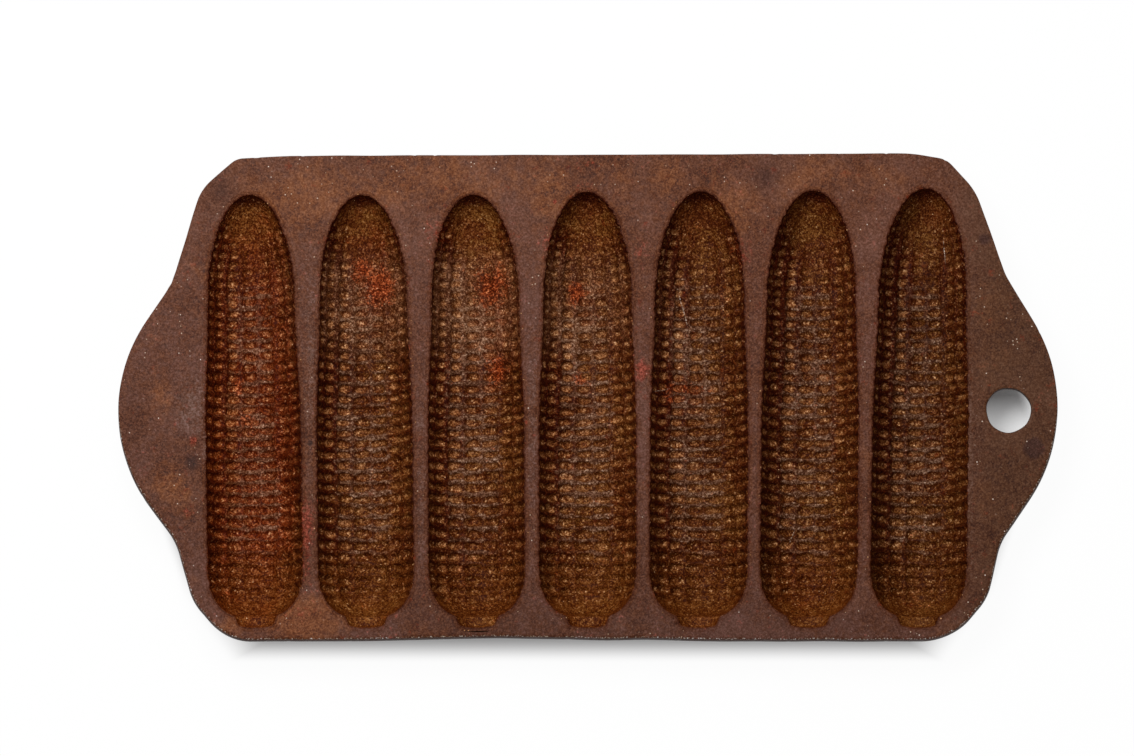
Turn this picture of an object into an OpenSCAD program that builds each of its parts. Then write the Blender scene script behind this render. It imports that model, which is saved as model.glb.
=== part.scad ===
// Cast iron corn stick pan: a flat plate with two flared handles and seven ear of corn moulds.
// The real pan is one casting. Each node here is one region of it, meeting its neighbours face to face.
// Millimetres, +Z up, +X along the row of ears, +Y towards the tips of the ears, standing on Z = 0.

/* [Plate] */
// Front to back depth of the plate
plate_depth = 177; // [173:1:180]
// Thickness of the plate and the handles
plate_t = 4; // [3.5:0.1:4.5]
// Overall height, from the flats under the moulds to the plate's top face
pan_height = 23; // [22.5:0.1:24]
// Distance from the centre to the seam where a handle leaves the plate
handle_seam_x = 141.5; // [141:0.5:143]

/* [Handles] */
// Radius of the left handle's round end
left_lobe_r = 58; // [54:1:60]
// Radius of the right handle's round end
right_lobe_r = 61; // [58:1:64]
// Centre of the hanging hole, along the row of ears
hole_x = 151.4; // [150:0.1:153]
// Centre of the hanging hole, front to back
hole_y = -5; // [-8:0.1:0]
// Diameter of the hanging hole
hole_d = 16; // [12:0.5:18]

/* [Ears] */
// Distance from one ear to the next, at the pivot line
ear_pitch = 40; // [40:0.1:40.4]
// Lean of each ear away from the middle, per ear
ear_fan = 0.33; // [0:0.01:0.4]
// Half width of an ear's rim at its fullest
ear_half_w = 17.5; // [17:0.1:17.7]
// Half width of an ear where its tip begins to round off
tip_half_w = 16; // [15:0.1:16.5]
// Depth of the cavity below the top face
ear_depth = 18.9; // [18:0.1:19.2]
// Where the tip ends, along the ear
tip_y = 74; // [71:0.1:76]
// Length over which the tip rounds off
tip_len = 40.5; // [37:0.5:46]
// Where the butt end begins to round off
butt_y = -59; // [-60:0.1:-56]
// Length over which the butt end rounds off
butt_len = 20; // [18:0.5:21]
// Half width of the stalk pocket where it leaves the butt
stalk_half_w = 7.8; // [7:0.1:8.2]
// Half width of the stalk pocket at its end
stalk_end_half_w = 6.2; // [5.6:0.1:6.8]
// Depth of the stalk pocket below the top face
stalk_depth = 6; // [5.6:0.1:6.6]
// Wall beside the cavity
wall_side = 2.3; // [2:0.1:2.3]
// Wall under the cavity, before its flat is cut
wall_under = 5; // [4.8:0.1:5.2]

/* [Kernels] */
// Rows of kernels along an ear
kernel_rows = 32; // [20:2:32]
// Columns of kernels across an ear, from one edge of its seat to the other
kernel_cols = 7; // [6:1:8]
// Where the first row begins, towards the tip
rows_start_y = 61.5; // [56:0.5:63]
// Where the last row ends, towards the stalk
rows_end_y = -72; // [-73:0.5:-70]
// How far the ridges between kernels stand in from the mean surface
ridge_h = 0.45; // [0:0.05:0.5]
// How far the kernels' hollows reach out from the mean surface
hollow_d = 0.8; // [0:0.05:0.9]
// How far the rows wander from straight
row_wander = 0.5; // [0:0.05:0.6]

/* [Hidden] */
iron = [0.33, 0.21, 0.17];
seasoned = [0.36, 0.20, 0.10];
half_depth = plate_depth / 2;
plate_z = pan_height - plate_t;
arc_step = 4;
ear_count = 7;

// Corners of the pan's outline, clockwise from the back right: x, y, rounding radius.
// Each end runs from the back edge into a hollow curve and round the handle, then by a short flat to the front.
pan_corners = [
    [134.4, half_depth, 25.6],
    [150.7, 44.3, 19.5],
    [180.5, -6.1, right_lobe_r],
    [148.5, -52.9, 23],
    [143.7, -73.2, 18],
    [130.3, -half_depth, 23.5],
    [-130.1, -half_depth, 20],
    [-142.3, -74.2, 21.6],
    [-148.5, -52.3, 27],
    [-182.5, -6.6, left_lobe_r],
    [-150, 41.2, 35.7],
    [-135.8, half_depth - 1.2, 24.7]
];

// The line on which the ears' pitch is exact, and round which each ear leans
fan_pivot_y = -12;
// An ear swells from its width at the tip to its full width between these
swell_start_y = 34;
swell_end_y = -12;
// Roundness of the outline's two ends: 2 is an ellipse, and more is squarer
tip_power = 2.1;
butt_power = 2.5;
// How far the outer surface runs past the cavity at the tip, the butt and the stalk
tip_wall = 2.5;
butt_wall = 2.4;
stalk_end_y = -82.4;
stalk_round = 2.4;
stalk_round_y = -81.2;
// The plate's opening is the cavity's outline halfway down the plate
opening_share = 0.988;
opening_tip_drop = 0.3;

// Stations along an ear: the tip, the kernel rows and the butt with its stalk pocket
tip_steps = 8;
tail_steps = 6;
last = tip_steps + kernel_rows + tail_steps;
last_out = last / 2;
// The kernels fade out over this length, which begins further up the sides than in the middle
fade_length = 20;
fade_middle_y = 43;
fade_side_rise = 24;
// Places across the outer surface, as shares of the way to the plate; the middle pair bounds the flat
outer_shares = [-1, -0.74, -0.46, -0.17, 0.17, 0.46, 0.74, 1];
outer_n = len(outer_shares);

function smooth(t) = let (u = min(1, max(0, t))) u * u * (3 - 2 * u);
function unit(v) = v / norm(v);

// Points of the arc that rounds corner b between its neighbours a and c
function rounded_corner(a, b, c, r) =
    let (
        in_dir = unit(a - b),
        out_dir = unit(c - b),
        half = acos(in_dir * out_dir) / 2,
        centre = b + unit(in_dir + out_dir) * r / sin(half),
        from = b + in_dir * r / tan(half) - centre,
        turn = cross(in_dir, out_dir) > 0 ? -1 : 1,
        sweep = 180 - 2 * half,
        steps = max(2, ceil(sweep / arc_step)),
        start = atan2(from[1], from[0])
    )
    [for (s = [0:steps]) let (a = start + turn * sweep * s / steps) centre + r * [cos(a), sin(a)]];

function rounded_outline(corners) =
    let (n = len(corners), p = [for (c = corners) [c[0], c[1]]])
    [for (i = [0:n - 1]) each rounded_corner(p[(i + n - 1) % n], p[i], p[(i + 1) % n], corners[i][2])];

// What is left of the full section, from 1 where an end begins to round off to 0 where it ends, and back
function narrowing(share, power) = pow(1 - pow(min(1, max(0, share)), power), 1 / power);
function tip_fullness(y, tip, length) = narrowing((y - tip + length) / length, tip_power);
function butt_fullness(y, length) = narrowing((butt_y - y) / length, butt_power);
function stalk_fullness(y) =
    y < stalk_round_y ? sqrt(max(0, 1 - pow((stalk_round_y - y) / stalk_round, 2))) : 1;
function body_half_w(y) =
    tip_half_w + (ear_half_w - tip_half_w) * smooth((swell_start_y - y) / (swell_start_y - swell_end_y));

function stalk_w(y) =
    stalk_half_w + (stalk_end_half_w - stalk_half_w) * (shoulder_y - y) / (shoulder_y - stalk_end_y);

function cavity_w(y) = y < shoulder_y
    ? stalk_w(y) * stalk_fullness(y)
    : body_half_w(y) * tip_fullness(y, tip_y, tip_len) * butt_fullness(y, butt_len);
function cavity_d(y) = y < shoulder_y
    ? stalk_depth * stalk_fullness(y)
    : ear_depth * tip_fullness(y, tip_y, tip_len) * butt_fullness(y, butt_len);
function outer_w(y) = y < outer_shoulder_y
    ? stalk_half_w + wall_side
    : (body_half_w(y) + wall_side) * tip_fullness(y, tip_y + tip_wall, tip_len + tip_wall)
        * butt_fullness(y, butt_len + butt_wall);
function outer_d(y) = y < outer_shoulder_y
    ? stalk_depth + wall_side
    : (ear_depth + wall_under) * tip_fullness(y, tip_y + tip_wall, tip_len + tip_wall)
        * butt_fullness(y, butt_len + butt_wall);

// Where the butt has narrowed to the stalk pocket, inside and outside
shoulder_y = butt_y - butt_len * narrowing(stalk_half_w / ear_half_w, butt_power);
outer_shoulder_share = (stalk_half_w + wall_side) / (ear_half_w + wall_side);
outer_shoulder_y = butt_y - (butt_len + butt_wall) * narrowing(outer_shoulder_share, butt_power);
stalk_outer_y = stalk_end_y - wall_side;

// Where the section's depth has shrunk to the plate's thickness, so that the mould closes
function closing_y(tip, length, depth) = tip - length * (1 - narrowing(plate_t / depth, tip_power));
apex_y = closing_y(tip_y, tip_len, ear_depth);
outer_apex_y = closing_y(tip_y + tip_wall, tip_len + tip_wall, ear_depth + wall_under);

function row_y(k) = rows_start_y + (rows_end_y - rows_start_y) * k / kernel_rows;
tail_ys = [
    (rows_end_y + shoulder_y) / 2 - 0.5,
    shoulder_y,
    (shoulder_y + stalk_round_y) / 2,
    stalk_round_y,
    stalk_round_y - 0.8,
    stalk_end_y
];
function station_y(i) =
    i < tip_steps ? apex_y - (apex_y - rows_start_y) * pow(i / tip_steps, 1.6)
    : i <= tip_steps + kernel_rows ? row_y(i - tip_steps)
    : tail_ys[i - tip_steps - kernel_rows - 1];
function outer_station_y(y) =
    let (tip_start = tip_y - tip_len)
    y > tip_start ? tip_start + (y - tip_start) * (tip_len + tip_wall) / tip_len
    : y > butt_y ? y
    : y >= shoulder_y ? butt_y + (y - butt_y) * (outer_shoulder_y - butt_y) / (shoulder_y - butt_y)
    : outer_shoulder_y - (shoulder_y - y) * (outer_shoulder_y - stalk_outer_y) / (shoulder_y - stalk_end_y);

// Kernels fade out towards the tip, and their rows wander a little on the way across the ear
function kernel_fade(y, share) = smooth((fade_middle_y + fade_side_rise * share * share - y) / fade_length);
function in_rows(i) = i > tip_steps && i < tip_steps + kernel_rows;
function wander(i, j) =
    in_rows(i) ? row_wander * sin(61 * j + 23 * i) * cos(37 * j - 13 * i) : 0;

// A point on a section of half width w and depth d, share of the way to where it meets the plate
function section_point(y, share, w, d) =
    let (a = acos(min(1, plate_t / d)) * share)
    [w * sin(a), y, max(0, pan_height - d * cos(a))];
function cavity_point(y, share, out) = section_point(y, share, cavity_w(y) + out, cavity_d(y) + out);
function ridge_point(i, j) =
    let (
        y = station_y(i) + wander(i, j),
        share = 2 * j / kernel_cols - 1,
        inside = j > 0 && j < kernel_cols && i >= tip_steps && i <= tip_steps + kernel_rows,
        out = inside ? -ridge_h * kernel_fade(y, share) : 0
    )
    cavity_point(y, share, out);
// The two ends of the crease at the bottom of one kernel's hollow
function crease_point(k, j, side) =
    let (
        i = tip_steps + k,
        y = (station_y(i) + station_y(i + 1)) / 2
            + (wander(i, j) + wander(i, j + 1) + wander(i + 1, j) + wander(i + 1, j + 1)) / 4,
        share = 2 * (j + 0.5 + side * 0.21) / kernel_cols - 1
    )
    cavity_point(y, share, hollow_d * kernel_fade(y, share));
function outer_point(m, j) =
    let (y = outer_station_y(station_y(2 * m)))
    section_point(y, outer_shares[j], outer_w(y), outer_d(y));

// Number of each kind of point, and its place in the list
grid_n = last * (kernel_cols + 1);
crease_n = kernel_rows * kernel_cols * 2;
function cavity_at(i, j) = i == 0 ? 0 : 1 + (i - 1) * (kernel_cols + 1) + j;
function crease_at(k, j, s) = 1 + grid_n + (k * kernel_cols + j) * 2 + s;
function outer_at(m, j) = 1 + grid_n + crease_n + (m == 0 ? 0 : 1 + (m - 1) * outer_n + j);

ear_points = concat(
    [[0, apex_y, plate_z]],
    [for (i = [1:last], j = [0:kernel_cols]) ridge_point(i, j)],
    [for (k = [0:kernel_rows - 1], j = [0:kernel_cols - 1], side = [-1, 1]) crease_point(k, j, side)],
    [[0, outer_apex_y, plate_z]],
    [for (m = [1:last_out], j = [0:outer_n - 1]) outer_point(m, j)]
);

// Faces of a plain patch, of a kernel's hollow, and of one patch of the outer surface
function plain_patch(i, j) =
    let (a = cavity_at(i, j), b = cavity_at(i, j + 1), c = cavity_at(i + 1, j + 1), d = cavity_at(i + 1, j))
    [[a, b, c], [a, c, d]];
function kernel_patch(k, j) =
    let (
        i = tip_steps + k,
        a = cavity_at(i, j), b = cavity_at(i, j + 1),
        c = cavity_at(i + 1, j + 1), d = cavity_at(i + 1, j),
        l = crease_at(k, j, 0), r = crease_at(k, j, 1)
    )
    [[a, l, d], [a, b, r], [a, r, l], [b, c, r], [c, d, l], [c, l, r]];
function outer_patch(m, j) =
    let (a = outer_at(m, j), b = outer_at(m, j + 1), c = outer_at(m + 1, j + 1), d = outer_at(m + 1, j))
    [[a, d, c], [a, c, b]];
// The seat against the plate, from two stations of the cavity's edge to one step of the outer edge
function right_seat(m) =
    let (
        a = cavity_at(2 * m, kernel_cols), e = cavity_at(2 * m + 1, kernel_cols),
        d = cavity_at(2 * m + 2, kernel_cols),
        b = outer_at(m, outer_n - 1), c = outer_at(m + 1, outer_n - 1)
    )
    [[a, b, e], [b, c, e], [e, c, d]];
function left_seat(m) =
    let (
        a = cavity_at(2 * m, 0), e = cavity_at(2 * m + 1, 0), d = cavity_at(2 * m + 2, 0),
        b = outer_at(m, 0), c = outer_at(m + 1, 0)
    )
    [[a, e, b], [e, c, b], [e, d, c]];

plain_rows = [for (i = [1:last - 1]) if (i < tip_steps || i >= tip_steps + kernel_rows) i];
stalk_seat = [
    cavity_at(last, 0), cavity_at(last, kernel_cols),
    outer_at(last_out, outer_n - 1), outer_at(last_out, 0)
];
ear_faces = concat(
    [for (j = [0:kernel_cols - 1]) [0, cavity_at(1, j + 1), cavity_at(1, j)]],
    [for (i = plain_rows, j = [0:kernel_cols - 1]) each plain_patch(i, j)],
    [for (k = [0:kernel_rows - 1], j = [0:kernel_cols - 1]) each kernel_patch(k, j)],
    [[for (j = [0:kernel_cols]) cavity_at(last, j)]],
    [for (m = [0:last_out - 1]) each concat(right_seat(m), left_seat(m))],
    [stalk_seat],
    [for (j = [0:outer_n - 2]) [outer_at(0, 0), outer_at(1, j), outer_at(1, j + 1)]],
    [for (m = [1:last_out - 1], j = [0:outer_n - 2]) each outer_patch(m, j)],
    [[for (j = [outer_n - 1:-1:0]) outer_at(last_out, j)]]
);

// Puts an ear's own frame at its place in the row, counted from the middle ear
module at_ear(place) {
    translate([place * ear_pitch, fan_pivot_y, 0])
        rotate([0, 0, -place * ear_fan])
            translate([0, -fan_pivot_y, 0])
                children();
}

// The plate's opening over one ear, as a closed outline
butt_steps = 5;
opening_ys = concat(
    [for (i = [1:tip_steps - 1]) station_y(i)],
    [for (k = [0:3:kernel_rows]) row_y(k)],
    [for (s = [1:butt_steps]) rows_end_y + (shoulder_y - rows_end_y) * s / butt_steps],
    [stalk_round_y, stalk_round_y - 0.8, stalk_end_y]
);
module ear_opening() {
    right = [for (y = opening_ys) [cavity_w(y) * opening_share, y]];
    left = [for (i = [len(right) - 1:-1:0]) [-right[i][0], right[i][1]]];
    polygon(concat([[0, tip_y - opening_tip_drop]], right, left));
}

module pan_outline() {
    polygon(rounded_outline(pan_corners));
}

module plate_slab() {
    translate([0, 0, plate_z])
        linear_extrude(plate_t)
            children();
}

module top_plate() {
    color(iron)
        plate_slab()
            difference() {
                intersection() {
                    pan_outline();
                    square([2 * handle_seam_x, 2 * plate_depth], center = true);
                }
                for (place = ear_places) at_ear(place) ear_opening();
            }
}

module handle_blank(side) {
    plate_slab()
        intersection() {
            pan_outline();
            translate([side * (handle_seam_x + plate_depth), 0]) square(2 * plate_depth, center = true);
        }
}

module left_handle() {
    color(iron) handle_blank(-1);
}

module right_handle() {
    color(iron)
        difference() {
            handle_blank(1);
            translate([hole_x, hole_y, plate_z - 1]) cylinder(h = plate_t + 2, d = hole_d, $fn = 96);
        }
}

module ear_mould(place) {
    color(seasoned)
        at_ear(place)
            polyhedron(points = ear_points, faces = ear_faces, convexity = 8);
}

ear_places = [for (n = [1:ear_count]) n - (ear_count + 1) / 2];

top_plate();
left_handle();
right_handle();
ear_mould(-3);  // ear_mould_1
ear_mould(-2);  // ear_mould_2
ear_mould(-1);  // ear_mould_3
ear_mould(0);  // ear_mould_4
ear_mould(1);  // ear_mould_5
ear_mould(2);  // ear_mould_6
ear_mould(3);  // ear_mould_7
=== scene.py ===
import math
import bmesh
import bpy
import numpy as np
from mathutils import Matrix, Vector


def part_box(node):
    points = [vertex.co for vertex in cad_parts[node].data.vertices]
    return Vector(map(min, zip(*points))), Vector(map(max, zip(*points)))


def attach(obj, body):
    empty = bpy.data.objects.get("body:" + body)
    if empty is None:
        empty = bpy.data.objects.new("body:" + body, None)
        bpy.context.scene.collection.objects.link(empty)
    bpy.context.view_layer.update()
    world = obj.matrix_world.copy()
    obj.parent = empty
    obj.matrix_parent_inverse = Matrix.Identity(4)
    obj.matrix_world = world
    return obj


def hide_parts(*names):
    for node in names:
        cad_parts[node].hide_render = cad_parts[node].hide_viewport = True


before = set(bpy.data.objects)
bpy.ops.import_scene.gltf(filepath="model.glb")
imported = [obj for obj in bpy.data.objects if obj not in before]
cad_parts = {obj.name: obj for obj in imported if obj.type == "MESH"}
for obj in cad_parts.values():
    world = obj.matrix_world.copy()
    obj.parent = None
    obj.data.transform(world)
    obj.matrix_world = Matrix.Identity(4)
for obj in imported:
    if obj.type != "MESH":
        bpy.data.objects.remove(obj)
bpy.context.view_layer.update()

mm = 0.001
deckUnder, deckTop = [corner.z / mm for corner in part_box("top_plate")]
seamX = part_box("right_handle")[0].x / mm
halfDepth = -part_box("top_plate")[0].y / mm
earCount = sum(name.startswith("ear_mould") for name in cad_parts)
print("frame loaded: deck from", round(deckUnder, 2), "to", round(deckTop, 2), "mm,", earCount, "ears")

# The camera looks almost straight down, leaning a little towards the front, through a long lens
cameraSetup = {
    "distance": 5.0,
    "lean": 6.7,
    "widthSeen": 0.4082,
    "panPixel": (588, 396.3),
    "framePixels": (1134, 756),
}


def setCamera(s):
    lean = math.radians(s["lean"])
    pixel = s["widthSeen"] / s["framePixels"][0]
    right = (s["framePixels"][0] / 2 - s["panPixel"][0]) * pixel
    back = (s["panPixel"][1] - s["framePixels"][1] / 2) * pixel / math.cos(lean)
    target = Vector((right, back, deckTop * mm))
    data = bpy.data.cameras.new("overheadCamera")
    data.sensor_width = 36
    data.lens = data.sensor_width * s["distance"] / s["widthSeen"]
    data.clip_end = 20
    view = bpy.data.objects.new("overheadCamera", data)
    bpy.context.collection.objects.link(view)
    view.location = target + Vector((0, -math.sin(lean), math.cos(lean))) * s["distance"]
    view.rotation_euler = (lean, 0, 0)
    bpy.context.scene.camera = view
    print("camera set", [round(v, 3) for v in view.location])


setCamera(cameraSetup)


# Shader writing: Wire is one output of a node, and Recipe makes the nodes
class Wire:
    def __init__(self, recipe, socket):
        self.recipe = recipe
        self.socket = socket

    def maths(self, operation, *values):
        return self.recipe.node("ShaderNodeMath", {"operation": operation}, dict(enumerate(values)))

    def __add__(self, other):
        return self.maths("ADD", self, other)

    def __radd__(self, other):
        return self.maths("ADD", other, self)

    def __sub__(self, other):
        return self.maths("SUBTRACT", self, other)

    def __rsub__(self, other):
        return self.maths("SUBTRACT", other, self)

    def __mul__(self, other):
        return self.maths("MULTIPLY", self, other)

    def __rmul__(self, other):
        return self.maths("MULTIPLY", other, self)

    def __truediv__(self, other):
        return self.maths("DIVIDE", self, other)

    def __pow__(self, other):
        return self.maths("POWER", self, other)

    def size(self):
        return self.maths("ABSOLUTE", self)

    def atMost(self, other):
        return self.maths("MINIMUM", self, other)

    def atLeast(self, other):
        return self.maths("MAXIMUM", self, other)

    # 0 below low, 1 above high, and an eased step between; low may be the larger
    def step(self, low, high):
        sockets = {"Value": self, "From Min": low, "From Max": high, "To Min": 0.0, "To Max": 1.0}
        if low > high:
            sockets.update({"From Min": high, "From Max": low, "To Min": 1.0, "To Max": 0.0})
        return self.recipe.node("ShaderNodeMapRange", {"interpolation_type": "SMOOTHSTEP"}, sockets)


class Recipe:
    def __init__(self, name):
        self.material = bpy.data.materials.new(name)
        self.material.use_nodes = True
        self.tree = self.material.node_tree
        self.shader = self.tree.nodes["Principled BSDF"]

    def node(self, kind, settings, sockets, out=0):
        made = self.tree.nodes.new(kind)
        for key, value in settings.items():
            setattr(made, key, value)
        for key, value in sockets.items():
            if isinstance(value, Wire):
                self.tree.links.new(value.socket, made.inputs[key])
            else:
                made.inputs[key].default_value = value
        return Wire(self, made.outputs[out])

    def feed(self, name, wire):
        self.tree.links.new(wire.socket, self.shader.inputs[name])

    # Noise from 0 to 1 about 0.5, with features of the given size in millimetres
    def grain(self, spot, size, seed, detail=2.0, rough=0.5):
        sockets = {"Vector": spot, "W": seed, "Scale": 1 / size, "Detail": detail, "Roughness": rough}
        return self.node("ShaderNodeTexNoise", {"noise_dimensions": "4D"}, sockets)

    def axis(self, vector, name):
        return self.node("ShaderNodeSeparateXYZ", {}, {0: vector}, name)

    def vector(self, operation, first, second):
        return self.node("ShaderNodeVectorMath", {"operation": operation}, {0: first, 1: second})

    # How far a vector reaches from nought
    def reach(self, vector):
        return self.node("ShaderNodeVectorMath", {"operation": "LENGTH"}, {0: vector}, "Value")

    def blend(self, factor, first, second):
        return self.node("ShaderNodeMix", {"data_type": "RGBA"}, {0: factor, 6: first, 7: second}, 2)

    def shade(self, colour, amount):
        return self.node("ShaderNodeVectorMath", {"operation": "SCALE"}, {0: colour, "Scale": amount})

    # Like shade, but a darker place is also a redder one: each channel has a power of its own
    def tone(self, colour, amount, powers):
        parts = {axis: amount ** power for axis, power in zip("XYZ", powers)}
        scale = self.node("ShaderNodeCombineXYZ", {}, parts)
        return self.vector("MULTIPLY", colour, scale)

    def painted(self, name):
        return self.node("ShaderNodeAttribute", {"attribute_name": name}, {}, "Fac")


# A colour as a paint chart gives it, 0 to 255, turned into light
def paint(red, green, blue):
    def light(v):
        v = v / 255
        return v / 12.92 if v <= 0.04045 else ((v + 0.055) / 1.055) ** 2.4
    return (light(red), light(green), light(blue), 1.0)


# Shape of an ear's mould, in millimetres, with y along the ear from its stalk to its tip
earShape = {
    "tip": 74.0,
    "tipLength": 40.5,
    "tipRound": (2.1, 0.5),
    "tipHalf": 16.0,
    "bodyHalf": 17.45,
    "swell": (34.0, -12.0),
    "butt": -59.0,
    "buttLength": 20.0,
    "buttRound": 2.6,
    "depth": 18.9,
    "stalkHalf": (8.0, 6.2),
    "stalkDepth": 4.6,
    "stalkEnd": -82.3,
    "stalkRound": 1.6,
    "stalkPower": 2.6,
    "lipRadius": 0.4,
    "lipWidth": 1.7,
    "lipTurns": (22, 45, 68, 90),
    "lipEvened": 1.6,
    "lipEvenedFrom": (6, 12),
    "lipEvenedTo": (0.2, 1.4),
    "sideWall": 2.3,
    "underWall": 5.0,
    "outerTip": 2.0,
    "outerButt": 1.09,
    "outerFillet": 0.9,
    "filletDepth": 1.1,
    "seatSoftness": 1.0,
    "lipTuck": 0.1,
    "shellTuck": 0.08,
    "tipLeans": (0.0, -0.2, -0.6, -0.3, 0.2, 0.3, 0.7),
    "leanFrom": (35, 75),
    "tipGrowth": (-0.9, -1.0, -0.9, 0.15, 0.3, 0.6, 1.4),
    "growthFrom": (30, 75),
    "slimmer": (0.5, 0.4, 0.3, 0.15, 0.0, 0.1, 0.35),
    "buttDrop": 1.3,
    "dropFrom": (-20, -76),
    "uneven": 0.09,
    "unevenSize": 11,
    "rough": 0.14,
    "roughSizes": (2.4, 1.5),
    "roughFrom": (16, 44),
    "roughEnd": 0.8,
    "tipCalm": (0.5, 9),
    "shallow": 4,
    "pitch": 40.0,
    "fan": 0.33,
    "pivot": -12.0,
    "pointsAlong": {"step": 0.42, "tip": 70, "butt": 46, "stalk": 10, "end": 16},
    "pointsAcross": {"cup": 117, "shell": 33},
}
mmPerDegree = 0.3  # round the wall of a cup, nearly

# Kernels: rows lie across the ear, all straight at levelRow, and columns run along it. The pitch from row
# to row changes along the ear, not quite alike on its two sides, and is given as pairs of y and pitch.
kernelShape = {
    "columnAngle": 22.5,
    "columnTurn": -4.5,
    "columns": 9,
    "levelRow": -43.2,
    "leftPitches": ((-70, 3.8), (-50, 4.35), (-34, 3.75), (-6, 4.1), (14, 4.15), (30, 3.5), (56, 3.6)),
    "rightPitches": ((-70, 3.5), (-48, 4.25), (-34, 4.3), (-16, 3.9), (14, 3.8), (32, 4.3), (50, 3.3)),
    "pitchAngle": 60,
    "firstRow": -9,
    "rows": 38,
    "widthShare": (0.92, 1.2),
    "widthReach": (16.0, -24.0),
    "sideWiden": 0.28,
    "lengthShare": 0.95,
    "corner": 2.3,
    "floor": (0.25, 1.08),
    "ridge": 0.5,
    "hollow": 1.1,
    "wander": (0.04, 0.06),
    "sizes": (0.88, 1.08),
    "fullness": (0.75, 1.12),
    "bend": 0.05,
    "bendSizes": (6, 7),
    "wallAngles": (36, 58),
    "fadeMiddle": (66.0, 34.0),
    "fadeSide": (72.5, 60.0),
    "fadeAngle": 70,
    "fadeButt": (-74.5, -68.0),
    "rimShare": 0.22,
    "rimAngles": (74, 90),
    "seed": 11,
}


def ease(value, low, high):
    t = np.clip((value - low) / (high - low), 0, 1)
    return t * t * (3 - 2 * t)


# A smooth random field about 0, made of a few waves in seeded directions
def ripple(x, y, size, seed):
    source = np.random.default_rng(seed)
    total = np.zeros(np.broadcast(x, y).shape)
    waves = 7
    spans = ((0, 7), (0, 7), (0.6, 1.7))
    turns, phases, stretches = [source.uniform(*span, waves) for span in spans]
    for turn, phase, stretch in zip(turns, phases, stretches):
        total += np.sin((x * math.cos(turn) + y * math.sin(turn)) * stretch * 6.283 / size + phase)
    return total / waves ** 0.5


# How much of the full section the ear has at y
def tipFullness(y, tip, length, s):
    inner, outer = s["tipRound"]
    closing = np.abs(1 - (tip - y) / length) ** inner
    return np.where(y > tip - length, np.maximum(0, 1 - closing) ** outer, 1.0)


def buttFullness(y, length, s):
    p = s["buttRound"]
    share = np.clip((s["butt"] - y) / length, 0, 1)
    return np.maximum(0, 1 - share ** p) ** (1 / p)


def bodyHalf(y, s):
    return s["tipHalf"] + (s["bodyHalf"] - s["tipHalf"]) * ease(y, *s["swell"])


# Where the butt has narrowed to the stalk pocket
def shoulderY(s):
    p = s["buttRound"]
    return s["butt"] - s["buttLength"] * (1 - (s["stalkHalf"][0] / s["bodyHalf"]) ** p) ** (1 / p)


def cavitySection(y, s):
    full = tipFullness(y, s["tip"], s["tipLength"], s) * buttFullness(y, s["buttLength"], s)
    width = bodyHalf(y, s) * full
    depth = s["depth"] * full
    shoulder = shoulderY(s)
    along = np.clip((shoulder - y) / (shoulder - s["stalkEnd"]), 0, 1)
    stalkWidth = s["stalkHalf"][0] + (s["stalkHalf"][1] - s["stalkHalf"][0]) * along ** 0.7
    end = np.clip((s["stalkEnd"] + s["stalkRound"] - y) / s["stalkRound"], 0, 1)
    stalkFull = np.sqrt(np.maximum(0, 1 - end ** s["stalkPower"]))
    inStalk = y < shoulder
    width = np.where(inStalk, stalkWidth * stalkFull, width)
    depth = np.where(inStalk, s["stalkDepth"] * stalkFull, depth)
    return width, depth


def outerSection(y, s):
    full = tipFullness(y, s["tip"] + s["outerTip"], s["tipLength"] + s["outerTip"], s)
    full = full * buttFullness(y, s["buttLength"] + s["sideWall"], s)
    width = (bodyHalf(y, s) + s["sideWall"]) * full
    depth = (s["depth"] + s["underWall"]) * full
    width = np.maximum(width, s["stalkHalf"][0] + s["sideWall"])
    depth = np.maximum(depth, s["stalkDepth"] + s["sideWall"])
    return width, depth


# Row number at y, counted from levelRow towards the tip
def rowNumber(y, pitches, level):
    grid = np.linspace(-95, 95, 761)
    rate = 1 / np.interp(grid, *zip(*pitches))
    count = np.cumsum(rate) * (grid[1] - grid[0])
    return np.interp(y, grid, count) - np.interp(level, grid, count)


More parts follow.
